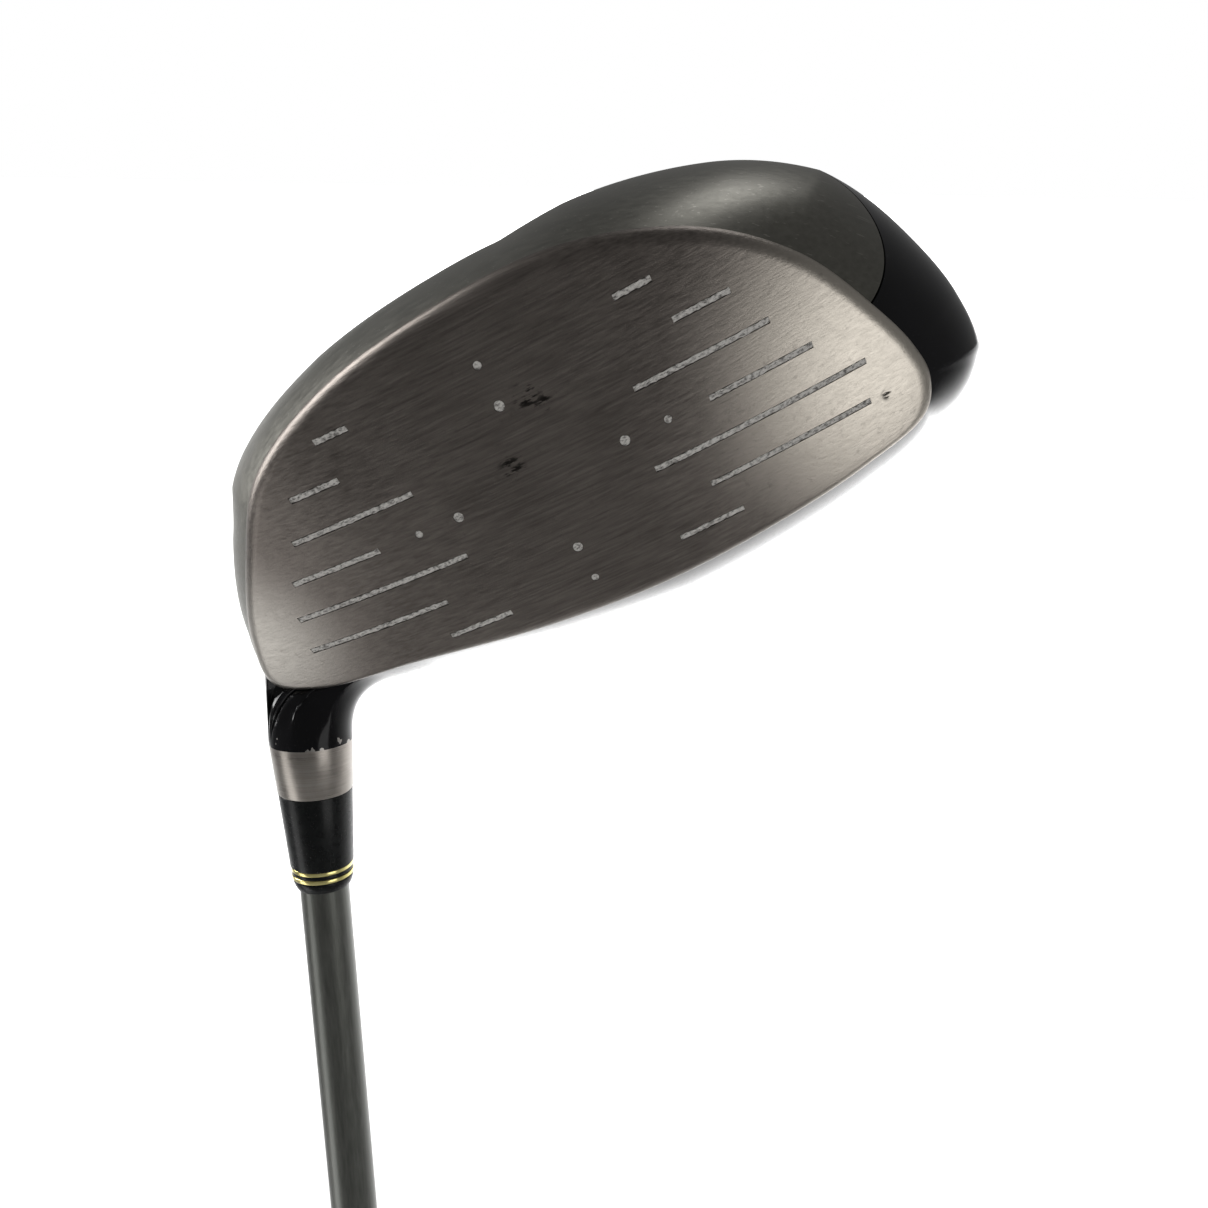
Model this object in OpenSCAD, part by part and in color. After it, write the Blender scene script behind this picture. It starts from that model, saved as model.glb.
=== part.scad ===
// Golf driver: hollow metal head, bonded tapered shaft, ringed ferrule and slip-on rubber grip.
// Origin: centre of the grip's end face. +Z runs up the shaft to the head and the face looks along -Y.
// Head shapes are written as [across, back, up] from the face centre at address, then placed on the shaft.

/* [Club] */
// Playing length, from the grip's end to the ground under the heel
club_length = 1143; // [1080:1:1168]
// Angle between the shaft and the ground
lie = 64.6; // [60:0.2:68]
// Height of the face centre above the ground
face_height = 37; // [34:1:40]

/* [Face] */
// Loft of the face
loft = 20; // [16:0.5:22]
// Radius of the heel to toe bulge
bulge_r = 213; // [190:1:260]
// Radius of the crown to sole roll
roll_r = 253; // [230:1:320]
// Thickness of the face plate
face_t = 2.8; // [2.4:0.1:3.2]
// Radius of the rounded face edge
edge_r = 1.6; // [1.2:0.1:2]
// Spacing of the punch marks from heel to toe
mark_pitch = 6.7; // [6:0.1:7]
// Spacing of the score lines from sole to crown
line_pitch = 5.8; // [5:0.1:6]
// Width of a score line
line_w = 0.7; // [0.5:0.05:0.9]
// Depth of a score line
line_depth = 0.35; // [0.25:0.05:0.5]

/* [Head] */
// Distance of the head's rear point behind the face centre
head_depth = 94; // [88:1:100]
// Distance of the shaft axis to the heel side of the face centre
heel = 50.7; // [50:0.1:51.5]
// Distance of the shaft axis behind the face centre
setback = 18.4; // [18:0.1:19]
// Thickness of the crown shell
crown_t = 1.2; // [1:0.1:1.6]
// Thickness of the sole shell
sole_t = 1.6; // [1.2:0.1:2]
// Width of the groove between crown and sole
groove_w = 0.4; // [0.3:0.05:0.6]

/* [Hosel and ferrule] */
// Distance from the level of the face centre to the hosel's top, along the shaft
hosel_top = 35; // [34:0.5:36]
// Radius of the hosel at its top
hosel_r = 6.4; // [6.2:0.05:6.6]
// Radius of the shaft's bonded tip
tip_r = 4.2; // [4.1:0.02:4.26]
// Thickness of the adhesive round the tip
bond_t = 0.15; // [0.1:0.01:0.2]
// Length of the ferrule
ferrule_len = 19; // [16:0.5:22]

/* [Shaft and grip] */
// Radius of the shaft above the ferrule
shaft_r = 4.3; // [4.28:0.01:4.34]
// Radius of the shaft at its butt
butt_r = 7.6; // [7.4:0.05:7.7]
// Wall thickness of the shaft
shaft_wall = 1.3; // [1:0.1:1.6]
// Length of the rubber grip
grip_len = 270; // [250:1:285]
// Radius of the grip next to its cap
grip_r = 13.3; // [12.8:0.1:14]
// Radius of the grip at its mouth
mouth_r = 9; // [8.8:0.1:9.6]
// Radius of the vent hole in the cap
vent_r = 1.5; // [1.2:0.1:2]

/* [Hidden] */
// Height of the face centre's level on the shaft
head_z = club_length - face_height / sin(lie);
// Facets: per outline point of the face, from the face to the rear, and round the shaft
steps = 3;
rows = 16;
round_fn = 96;
// Outline of the face, anticlockwise from the toe: [toward the toe, toward the crown]
outline = [[58, 13.6], [56, 18.4], [45.2, 21.3], [27.1, 23.3], [9, 24], [-10.8, 22.9], [-34.3, 20.4],
    [-54.2, 19.2], [-60.9, 15.9], [-57.8, 6.9], [-47.9, -6.1], [-37.9, -16.1], [-22.6, -22.6],
    [-2.7, -25.8], [16.3, -25.6], [33.4, -20.1], [45.2, -11], [52.6, -0.2], [56.7, 7.8]];
// Lean of the body where it leaves the face, for outward directions 0, 45, 90 ... degrees from the toe
lean = [56, 21, 22, -6, 21, 51, 34, 59];
// Length of the body's straight run in the same directions
run = [46.5, 44.5, 41, 37, 33, 37, 42.5, 46.5];
// Rear point of the head and the half sizes of its rounded tail
rear = [-2, head_depth, -4];
tail = [50.5, 23.3];
face_half = [60, 28];
// Ends of the sole panel, as [start, growth, levelling off] toward the rear
heel_seam = [0.428, 2.4, 11];
toe_seam = [0.893, -2.2, 14.7];
// Rounding of the face edge: [share of the outline, share of the edge's radius it sinks]
face_rings = [[1, 1], [0.985, 0.45], [0.955, 0.08], [0.9, 0], [0.6, 0], [0.3, 0]];
face_back = 0.985;
rim_length = 300;
// Score lines: [row from the centre toward the crown, heel end, toe end]
lines = [[-3, -26, -20.5], [-2, -34.5, -26], [-1, -38.5, -17.5], [0, -43, -27], [1, -46.5, -15.5],
    [2, -48.5, -22.5], [3, -25.5, -14.5], [-3, 20, 25.5], [-2, 26, 34.5], [-1, 17.5, 38], [0, 26.5, 42.5],
    [1, 15.5, 49], [2, 22, 48], [3, 14.5, 25]];
// Punch marks: [steps toward the toe, steps toward the crown, radius]
marks = [for (a = [0:90:270]) for (m = [[2, 0.75], [3, 0.6]]) [m[0] * cos(a), m[0] * sin(a), m[1]]];
// Outside of the hosel, as [radius, distance above the face centre's level]
neck_end = 3;
neck = [[5, neck_end], [5.8, 8], [6.3, 14], [7.2, 19], [7.5, 21], [7, 25.5], [hosel_r, hosel_top]];
bore_r = tip_r + bond_t;
bore_end = 6;
plug_t = 2;
tip_end = bore_end + plug_t;
tip_weight_len = 20;
// Pads inside the sole, as [start and end of t, start and end of w, thickness]
rear_pad = [0.62, 0.76, 0.67, 0.82, 4];
gum_pad = [0.6, 0.72, 0.22, 0.4, 3];
pad_gap = 0.2;
pad_cells = 6;
// Ferrule levels and radii
ferrule_top = hosel_top + ferrule_len;
ring_w = 0.8;
ring_r = hosel_r * 0.85;
lip_len = 2.2;
lip_edge = 1.2;
body_top = ferrule_top - lip_len - 3 * ring_w;
ferrule_bore = shaft_r + 0.02;
// Shaft: the slow taper's length and growth, and the heights where the butt is parallel
slow_top = hosel_top + 220;
slow_r = shaft_r + 0.4;
butt_z = 4;
parallel_z = 200;
// Grip: tape, cap and the heights where the sleeve's taper changes
tape_t = 0.3;
cap_t = 4;
cap_lip = 0.5;
waist_z = 30;
middle_z = 120;

function unit(v) = v / norm(v);
function tween(a, b, f) = a + (b - a) * f;
// Smooth closed curve through the outline's points; t runs from 0 to 1 round the face
function knot(k) = outline[(k + len(outline)) % len(outline)];
function rim(t) =
    let (n = len(outline), w = (t - floor(t)) * n, k = floor(w), f = w - k)
    let (p0 = knot(k - 1), p1 = knot(k), p2 = knot(k + 1), p3 = knot(k + 2))
    let (a = sqrt(norm(p1 - p0)), b = sqrt(norm(p2 - p1)), c = sqrt(norm(p3 - p2)), x = b * f)
    let (q0 = p0 + (p1 - p0) * (x + a) / a, q1 = p1 + (p2 - p1) * x / b, q2 = p2 + (p3 - p2) * (x - b) / c)
    let (r0 = q0 + (q1 - q0) * (x + a) / (a + b), r1 = q1 + (q2 - q1) * x / (b + c))
    r0 + (r1 - r0) * x / b;
function rim_normal(t) =
    let (d = rim(t + 0.0001) - rim(t - 0.0001))
    unit([d[1], -d[0]]);
// Point of the bulged face, sunk below it by drop
function on_face(u, v, drop = 0) =
    let (sink = u * u / (2 * bulge_r) + v * v / (2 * roll_r) + drop)
    [u, v * sin(loft) + sink * cos(loft), v * cos(loft) - sink * sin(loft)];
function around(values, angle) =
    let (w = (angle + 360) % 360 / 45, k = floor(w))
    tween(values[k % 8], values[(k + 1) % 8], w - k);
// Body surface: t goes round the face, w from the face edge (0) to the rear point (1)
function body(t, w) =
    let (r = rim(t), n = rim_normal(t), side = atan2(n[1], n[0]), a = around(lean, side))
    let (p0 = on_face(r[0], r[1], edge_r))
    let (p1 = p0 + around(run, side) * [sin(a) * n[0], cos(a), sin(a) * n[1]])
    let (turn = atan2(r[1] / face_half[1], r[0] / face_half[0]), p2 = rear + [tail[0] * cos(turn), 0, tail[1] * sin(turn)])
    let (v = 1 - w)
    v * v * v * p0 + 3 * v * v * w * p1 + 3 * v * w * w * p2 + w * w * w * rear;
function body_normal(t, w) =
    let (x = min(w, 0.97), e = 0.002)
    unit(cross(body(t, x + e) - body(t, x), body(t + e, x) - body(t - e, x)));
function shell(t, w, depth) = body(t, w) - depth * body_normal(t, w);
// Value of t on a seam, w of the way to the rear
function seam(line, w) = line[0] + line[1] * w * w / (1 + line[2] * w * w);
// From head terms [across, back, up] to the club's own frame
function place(p) = [(p[0] + heel) * sin(lie) + p[2] * cos(lie), p[1] - setback,
    (p[0] + heel) * cos(lie) - p[2] * sin(lie) + head_z];

// Closed solid between two grids of points that share a rear pole; open along its first and last columns
module panel(outer, inner, outer_pole, inner_pole) {
    m = len(outer);
    n = len(outer[0]);
    skin = m * n;
    pole = 2 * skin;
    function at(i, j, side) = side * skin + i * n + j;
    points = concat([for (row = outer) each row], [for (row = inner) each row], [outer_pole, inner_pole]);
    skins = [for (i = [0:m - 2]) for (j = [0:n - 2]) each [
        [at(i, j, 0), at(i, j + 1, 0), at(i + 1, j, 0)], [at(i, j + 1, 0), at(i + 1, j + 1, 0), at(i + 1, j, 0)],
        [at(i, j, 1), at(i + 1, j, 1), at(i, j + 1, 1)], [at(i, j + 1, 1), at(i + 1, j, 1), at(i + 1, j + 1, 1)]]];
    fans = [for (j = [0:n - 2]) each [
        [at(m - 1, j, 0), at(m - 1, j + 1, 0), pole], [at(m - 1, j + 1, 1), at(m - 1, j, 1), pole + 1]]];
    front = [for (j = [0:n - 2]) each [
        [at(0, j, 1), at(0, j + 1, 1), at(0, j, 0)], [at(0, j + 1, 1), at(0, j + 1, 0), at(0, j, 0)]]];
    sides = [for (i = [0:m - 2]) each [
        [at(i, 0, 0), at(i + 1, 0, 0), at(i, 0, 1)], [at(i + 1, 0, 0), at(i + 1, 0, 1), at(i, 0, 1)],
        [at(i, n - 1, 0), at(i, n - 1, 1), at(i + 1, n - 1, 0)],
        [at(i + 1, n - 1, 0), at(i, n - 1, 1), at(i + 1, n - 1, 1)]]];
    ends = [[at(m - 1, 0, 0), pole, at(m - 1, 0, 1)], [pole, pole + 1, at(m - 1, 0, 1)],
        [at(m - 1, n - 1, 0), at(m - 1, n - 1, 1), pole], [pole, at(m - 1, n - 1, 1), pole + 1]];
    polyhedron(points, concat(skins, fans, front, sides, ends));
}
// Shell of the body between two lines of t, from the face edge to the rear point
module body_panel(first, last, thickness, columns) {
    gap = groove_w / 2 / rim_length;
    levels = [for (i = [0:rows - 1]) let (x = i / rows) x * (0.6 + 0.4 * x)];
    spread = [for (w = levels) [for (j = [0:columns]) tween(first(w) + gap, last(w) - gap, j / columns)]];
    outer = [for (i = [0:rows - 1]) [for (t = spread[i]) place(shell(t, levels[i], 0))]];
    inner = [for (i = [0:rows - 1]) [for (t = spread[i]) place(shell(t, levels[i], thickness))]];
    panel(outer, inner, place(rear), place(rear - [0, thickness, 0]));
}
// Solid of revolution about the shaft, from points [radius, distance above the face centre's level]
module turned(profile) {
    translate([0, 0, head_z]) mirror([0, 0, 1]) rotate_extrude($fn = round_fn) polygon(profile);
}
module ring(r0, r1, low, high, bore) {
    turned([[bore, low], [r0, low], [r1, high], [bore, high]]);
}
module neck_envelope() {
    turned(concat([[0, neck_end]], neck, [[0, hosel_top]]));
}
module face_solid() {
    n = len(outline) * steps;
    function at(t, scale, drop) = let (r = rim(t) * scale) place(on_face(r[0], r[1], drop));
    fronts = [for (f = face_rings) for (i = [0:n - 1]) at(i / n, f[0], f[1] * edge_r)];
    backs = [for (f = face_rings) for (i = [0:n - 1]) at(i / n, f[0] * face_back, face_t)];
    count = n * len(face_rings);
    function next(i) = (i + 1) % n;
    skins = [for (k = [0:len(face_rings) - 2]) for (i = [0:n - 1]) each [
        [k * n + i, (k + 1) * n + i, k * n + next(i)], [k * n + next(i), (k + 1) * n + i, (k + 1) * n + next(i)],
        [count + k * n + i, count + k * n + next(i), count + (k + 1) * n + i],
        [count + k * n + next(i), count + (k + 1) * n + next(i), count + (k + 1) * n + i]]];
    last = count - n;
    caps = [for (i = [0:n - 1]) each [
        [last + i, 2 * count, last + next(i)], [count + last + i, count + last + next(i), 2 * count + 1]]];
    edge = [for (i = [0:n - 1]) each [[i, next(i), count + i], [next(i), count + next(i), count + i]]];
    centres = [place(on_face(0, 0)), place(on_face(0, 0, face_t))];
    polyhedron(concat(fronts, backs, centres), concat(skins, caps, edge));
}
// Puts a shape drawn on the XY plane onto the face, with its X toward the toe and its Z out of the face
module at_face(u, v, sink) {
    tilt = [v / roll_r, u / bulge_r] * 180 / PI;
    translate(place(on_face(u, v, sink))) rotate([0, lie - 90, 0]) rotate([90 + loft, 0, 0])
        rotate([tilt[0], tilt[1], 0]) children();
}
// Straight cuts for the score lines, sunk far enough that their ends stay in the bulged face, and punch marks
module score_cuts(depth, rise) {
    for (l = lines) {
        length = l[2] - l[1];
        dip = length * length / 8 / bulge_r;
        at_face((l[1] + l[2]) / 2, l[0] * line_pitch, depth + dip)
            translate([0, 0, (depth + rise) / 2])
                cube([length, line_w, depth + rise], center = true);
    }
    for (m = marks)
        at_face(m[0] * mark_pitch, m[1] * line_pitch, depth)
            cylinder(r = m[2], h = depth + rise, $fn = 16);
}
module face_plate() {
    color("dimgray")
        resize([0, 0, 0])
            difference() {
                face_solid();
                score_cuts(line_depth, 2);
                neck_envelope();
            }
}
module score_fill() {
    color("lightgray") score_cuts(line_depth, -line_depth / 2);
}
module crown_shell() {
    color([0.05, 0.05, 0.06])
        resize([0, 0, 0])
            difference() {
                body_panel(function (w) seam(toe_seam, w), function (w) 1 + seam(heel_seam, w), crown_t, 44);
                neck_envelope();
            }
}
module sole_shell() {
    color("gray")
        resize([0, 0, 0])
            difference() {
                body_panel(function (w) seam(heel_seam, w), function (w) seam(toe_seam, w), sole_t, 34);
                neck_envelope();
            }
}
module hosel() {
    color("silver")
        difference() {
            neck_envelope();
            ring(bore_r, bore_r, bore_end, hosel_top + 1, 0);
        }
}
module hosel_plug() {
    color("peru") ring(bore_r, bore_r, bore_end, tip_end, 0);
}
module hosel_bond() {
    color("khaki") ring(bore_r, bore_r, tip_end, hosel_top, tip_r);
}
module tip_weight() {
    color("goldenrod") ring(tip_r - shaft_wall, tip_r - shaft_wall, tip_end, tip_end + tip_weight_len, 0);
}
// Steel pad bonded inside the rear of the sole
module rear_weight() {
    color("slategray") inner_pad(rear_pad);
}
// Tacky damping compound behind the lower face
module damping_pad() {
    color("darkkhaki") inner_pad(gum_pad);
}
// Pad that follows the inside of the sole, just clear of it
module inner_pad(pad) {
    n = pad_cells;
    clear = sole_t + pad_gap;
    function at(i, j, deep) = place(shell(tween(pad[0], pad[1], j / n), tween(pad[2], pad[3], i / n), deep));
    low = [for (i = [0:n]) for (j = [0:n]) at(i, j, clear)];
    top = [for (i = [0:n]) for (j = [0:n]) at(i, j, clear + pad[4])];
    m = n + 1;
    c = m * m;
    skins = [for (i = [0:n - 1]) for (j = [0:n - 1]) let (a = i * m + j) each [
        [a, a + 1, a + m], [a + 1, a + m + 1, a + m], [c + a, c + a + m, c + a + 1],
        [c + a + 1, c + a + m, c + a + m + 1]]];
    sides = [for (k = [0:n - 1]) each [
        [k, c + k, k + 1], [k + 1, c + k, c + k + 1],
        [n * m + k, n * m + k + 1, c + n * m + k], [n * m + k + 1, c + n * m + k + 1, c + n * m + k],
        [k * m, k * m + m, c + k * m], [k * m + m, c + k * m + m, c + k * m],
        [k * m + n, c + k * m + n, k * m + m + n], [k * m + m + n, c + k * m + n, c + k * m + m + n]]];
    polyhedron(concat(low, top), concat(skins, sides));
}
// Ferrule: a black cone, two gold rings with a black spacer between them, and a rounded black end
module ferrule_body() {
    color([0.08, 0.08, 0.08]) ring(hosel_r - 0.05, ring_r + 0.05, hosel_top, body_top, ferrule_bore);
}
module ferrule_ring_lower() {
    color("gold") ring(ring_r, ring_r, body_top, body_top + ring_w, ferrule_bore);
}
module ferrule_spacer() {
    color([0.08, 0.08, 0.08]) ring(ring_r, ring_r, body_top + ring_w, body_top + 2 * ring_w, ferrule_bore);
}
module ferrule_ring_upper() {
    color("gold") ring(ring_r, ring_r, body_top + 2 * ring_w, body_top + 3 * ring_w, ferrule_bore);
}
module ferrule_end() {
    low = body_top + 3 * ring_w;
    color([0.08, 0.08, 0.08])
        turned([[ferrule_bore, low], [ring_r, low], [ring_r - 0.2, low + lip_edge], [shaft_r + 0.35, ferrule_top],
            [ferrule_bore, ferrule_top]]);
}
// Shaft: parallel bonded tip, slow taper above the ferrule, faster taper to a parallel butt
module shaft_tube() {
    outside = [[tip_r, tip_end], [tip_r, hosel_top - 0.2], [shaft_r, hosel_top], [shaft_r, ferrule_top],
        [slow_r, slow_top], [butt_r, head_z - parallel_z], [butt_r, head_z - butt_z]];
    inside = [for (i = [len(outside) - 1:-1:0]) [outside[i][0] - shaft_wall, outside[i][1]]];
    color([0.45, 0.46, 0.44]) turned(concat(outside, inside));
}
// Grip: tape, rubber sleeve and cap with its vent hole, given by height above the butt
function shaft_at(z) = z < parallel_z ? butt_r
    : tween(butt_r, slow_r, (z - parallel_z) / (head_z - slow_top - parallel_z));
module sleeve(heights, radii, clear) {
    outside = [for (i = [0:len(heights) - 1]) [radii[i], heights[i]]];
    inside = [for (i = [len(heights) - 1:-1:0]) [shaft_at(heights[i]) + clear, heights[i]]];
    rotate_extrude($fn = round_fn) polygon(concat(outside, inside));
}
module grip_tape() {
    zs = [cap_t + 2, parallel_z, grip_len - 3];
    color("ivory") sleeve(zs, [for (z = zs) shaft_at(z) + tape_t], 0);
}
module grip_sleeve() {
    zs = [cap_t, waist_z, middle_z, parallel_z, grip_len - 1.5, grip_len];
    waist = tween(grip_r, mouth_r, 0.25);
    rs = [grip_r, waist, tween(waist, mouth_r, 0.4), tween(waist, mouth_r, 0.75), mouth_r, mouth_r - 0.5];
    color([0.1, 0.1, 0.1]) sleeve(zs, rs, tape_t);
}
module grip_cap() {
    color([0.12, 0.12, 0.12])
        difference() {
            cylinder(r = grip_r + cap_lip, h = cap_t, $fn = round_fn);
            translate([0, 0, -1]) cylinder(r = vent_r, h = cap_t + 2, $fn = round_fn);
        }
}

face_plate();
score_fill();
crown_shell();
sole_shell();
hosel();
rear_weight();
damping_pad();
hosel_plug();
hosel_bond();
ferrule_body();
ferrule_ring_lower();
ferrule_spacer();
ferrule_ring_upper();
ferrule_end();
shaft_tube();
tip_weight();
grip_tape();
grip_sleeve();
grip_cap();
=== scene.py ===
import math
import random

import bmesh
import bpy
import numpy as np
from mathutils import Matrix, Vector


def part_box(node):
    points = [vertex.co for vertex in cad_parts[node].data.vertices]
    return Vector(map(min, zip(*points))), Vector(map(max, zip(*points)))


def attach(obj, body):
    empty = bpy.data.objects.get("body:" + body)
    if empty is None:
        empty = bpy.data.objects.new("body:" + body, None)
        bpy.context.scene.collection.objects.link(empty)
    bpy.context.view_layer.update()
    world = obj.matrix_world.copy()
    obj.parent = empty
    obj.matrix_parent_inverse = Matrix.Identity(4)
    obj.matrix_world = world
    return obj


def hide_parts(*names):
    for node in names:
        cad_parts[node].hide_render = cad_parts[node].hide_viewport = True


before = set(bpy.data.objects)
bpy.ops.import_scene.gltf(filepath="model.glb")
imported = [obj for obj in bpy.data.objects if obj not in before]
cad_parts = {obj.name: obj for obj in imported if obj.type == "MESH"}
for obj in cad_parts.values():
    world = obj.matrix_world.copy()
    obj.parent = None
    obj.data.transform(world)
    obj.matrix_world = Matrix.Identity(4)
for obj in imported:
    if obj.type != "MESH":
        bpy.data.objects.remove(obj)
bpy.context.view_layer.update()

MM = 0.001
rng = random.Random(7)

# ---------------------------------------------------------------- head shape, in millimetres at address
# Head points are [toward the toe, back, up] from the face centre, and place() sets them on the shaft.
# A level is a distance along the shaft from the face centre's level toward the grip.
LIE = math.radians(64.6)
LOFT = math.radians(20)
BULGE_R, ROLL_R = 213, 253
HEEL, SETBACK = 50.7, 18.4
FACE_T = 2.8
EDGE_DROP, EDGE_BAND = 1.6, 2.6
HOSEL_TOP = 35
PAINT_LINE = 25.6
HEAD_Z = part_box("hosel")[0].z / MM + HOSEL_TOP
LINE_PITCH, MARK_PITCH = 5.8, 6.7
LINE_W, LINE_DEPTH = 0.95, 0.35
OUTLINE = np.array([
    [58, 13.6], [56, 18.4], [45.2, 21.3], [27.1, 23.3], [9, 24], [-10.8, 22.9], [-34.3, 20.4],
    [-54.2, 19.2], [-60.9, 15.9], [-57.8, 6.9], [-47.9, -6.1], [-37.9, -16.1], [-22.6, -22.6],
    [-2.7, -25.8], [16.3, -25.6], [33.4, -20.1], [45.2, -11], [52.6, -0.2], [56.7, 7.8]])
LEAN = np.array([56, 21, 22, -6, 21, 51, 34, 59.0])
RUN = np.array([46.5, 44.5, 41, 37, 33, 37, 42.5, 46.5])
REAR = np.array([-2, 94, -4.0])
TAIL = (50.5, 23.3)
FACE_HALF = (60, 28)
# Seams of the sole panel, as start, growth and levelling off toward the rear
HEEL_SEAM = (0.428, 2.4, 11)
TOE_SEAM = (0.893, -2.2, 14.7)
# Score lines: row from the centre toward the crown, heel end, toe end
LINES = [
    (-3, -26, -20.5), (-2, -34.5, -26), (-1, -38.5, -17.5), (0, -43, -27), (1, -46.5, -15.5),
    (2, -48.5, -22.5), (3, -25.5, -14.5), (-3, 20, 25.5), (-2, 26, 34.5), (-1, 17.5, 38), (0, 26.5, 42.5),
    (1, 15.5, 49), (2, 22, 48), (3, 14.5, 25)]


def unit(v):
    return v / np.linalg.norm(v, axis=-1, keepdims=True)


def rim(t):
    """Smooth closed curve through OUTLINE; t runs from 0 to 1 round the face."""
    n = len(OUTLINE)
    w = np.mod(np.asarray(t, float), 1.0) * n
    k = np.floor(w).astype(int)
    p0, p1, p2, p3 = (OUTLINE[(k + i) % n] for i in (-1, 0, 1, 2))
    pairs = ((p0, p1), (p1, p2), (p2, p3))
    a, b, c = (np.sqrt(np.linalg.norm(q - p, axis=-1, keepdims=True)) for p, q in pairs)
    x = b * (w - k)[..., None]
    q0 = p0 + (p1 - p0) * (x + a) / a
    q1 = p1 + (p2 - p1) * x / b
    q2 = p2 + (p3 - p2) * (x - b) / c
    r0 = q0 + (q1 - q0) * (x + a) / (a + b)
    r1 = q1 + (q2 - q1) * x / (b + c)
    return r0 + (r1 - r0) * x / b


def on_face(u, v, drop=0.0):
    """Point of the bulged face, sunk below it by drop."""
    u, v, drop = np.broadcast_arrays(np.asarray(u, float), v, drop)
    sink = u * u / (2 * BULGE_R) + v * v / (2 * ROLL_R) + drop
    up, back = math.cos(LOFT), math.sin(LOFT)
    return np.stack([u, v * back + sink * up, v * up - sink * back], -1)


def around(values, angle):
    w = np.mod(angle, 360) / 45
    k = np.floor(w).astype(int)
    f = w - k
    return values[k % 8] * (1 - f) + values[(k + 1) % 8] * f


def body(t, w):
    """Body surface: t goes round the face, w from the face edge (0) to the rear point (1)."""
    t, w = np.broadcast_arrays(np.asarray(t, float), np.asarray(w, float))
    r = rim(t)
    d = rim(t + 1e-4) - rim(t - 1e-4)
    n = unit(np.stack([d[..., 1], -d[..., 0]], -1))
    side = np.degrees(np.arctan2(n[..., 1], n[..., 0]))
    lean, run = np.radians(around(LEAN, side)), around(RUN, side)
    out = np.stack([np.sin(lean) * n[..., 0], np.cos(lean), np.sin(lean) * n[..., 1]], -1)
    p0 = on_face(r[..., 0], r[..., 1], EDGE_DROP)
    p1 = p0 + run[..., None] * out
    turn = np.arctan2(r[..., 1] / FACE_HALF[1], r[..., 0] / FACE_HALF[0])
    p2 = REAR + np.stack([TAIL[0] * np.cos(turn), 0 * turn, TAIL[1] * np.sin(turn)], -1)
    w = w[..., None]
    v = 1 - w
    return v**3 * p0 + 3 * v * v * w * p1 + 3 * v * w * w * p2 + w**3 * REAR


def body_normal(t, w):
    """Outward normal, held at w = 0.97 where the surface closes to a point."""
    x, e = np.minimum(w, 0.97), 0.002
    return unit(np.cross(body(t, x + e) - body(t, x), body(t + e, x) - body(t - e, x)))


def shell(t, w, depth):
    return body(t, w) - np.asarray(depth)[..., None] * body_normal(t, w)


def seam(line, w):
    """Value of t on a seam, w of the way to the rear."""
    start, growth, levelling = line
    return start + growth * w * w / (1 + levelling * w * w)


def place(p):
    """From head millimetres to the frame, in metres."""
    p = np.asarray(p, float)
    a = p[..., 0] + HEEL
    return MM * np.stack([
        a * math.sin(LIE) + p[..., 2] * math.cos(LIE), p[..., 1] - SETBACK,
        a * math.cos(LIE) - p[..., 2] * math.sin(LIE) + HEAD_Z], -1)


# ---------------------------------------------------------------- mesh helpers
def make_object(name, points, faces, smooth=True):
    mesh = bpy.data.meshes.new(name)
    mesh.from_pydata([tuple(map(float, p)) for p in points], [], [tuple(map(int, f)) for f in faces])
    mesh.validate()
    b = bmesh.new()
    b.from_mesh(mesh)
    bmesh.ops.remove_doubles(b, verts=b.verts, dist=2e-6)
    bmesh.ops.recalc_face_normals(b, faces=b.faces)
    for f in b.faces:
        f.smooth = smooth
    b.to_mesh(mesh)
    b.free()
    piece = bpy.data.objects.new(name, mesh)
    bpy.context.scene.collection.objects.link(piece)
    return piece


def apply_modifiers(piece):
    graph = bpy.context.evaluated_depsgraph_get()
    graph.update()
    mesh = bpy.data.meshes.new_from_object(piece.evaluated_get(graph))
    piece.modifiers.clear()
    piece.data = mesh


def sharpen(piece, degrees):
    """Splits shading at edges sharper than degrees."""
    b = bmesh.new()
    b.from_mesh(piece.data)
    limit = math.radians(degrees)
    for e in b.edges:
        e.smooth = not (len(e.link_faces) == 2 and e.calc_face_angle(0) > limit)
    b.to_mesh(piece.data)
    b.free()


def turned(name, profile, segments=128, relief=None):
    """Solid of revolution about the shaft, from closed [radius, z] points in millimetres."""
    n = len(profile)
    points, faces = [], []
    for i in range(segments):
        a = 2 * math.pi * i / segments
        for r, z in profile:
            r = r + (relief(a, r, z) if relief else 0)
            points.append((r * math.cos(a) * MM, r * math.sin(a) * MM, z * MM))
    for i in range(segments):
        for j in range(n):
            k, m = (i + 1) % segments, (j + 1) % n
            faces.append((i * n + j, k * n + j, k * n + m, i * n + m))
    return make_object(name, points, faces)


def rounded(points, radius, steps=4):
    """Rounds the corners of a closed outline."""
    out = []
    n = len(points)
    for i, p in enumerate(points):
        p, a, b = (np.array(q, float) for q in (p, points[i - 1], points[(i + 1) % n]))
        la, lb = np.linalg.norm(a - p), np.linalg.norm(b - p)
        r = min(radius, la * 0.45, lb * 0.45)
        start, end = p + (a - p) / la * r, p + (b - p) / lb * r
        for k in range(steps + 1):
            f = k / steps
            out.append(tuple((1 - f) ** 2 * start + 2 * f * (1 - f) * p + f * f * end))
    return out


def by_level(profile):
    """Turns levels into heights above the grip's end."""
    return [(r, HEAD_Z - s) for r, s in profile]


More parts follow.
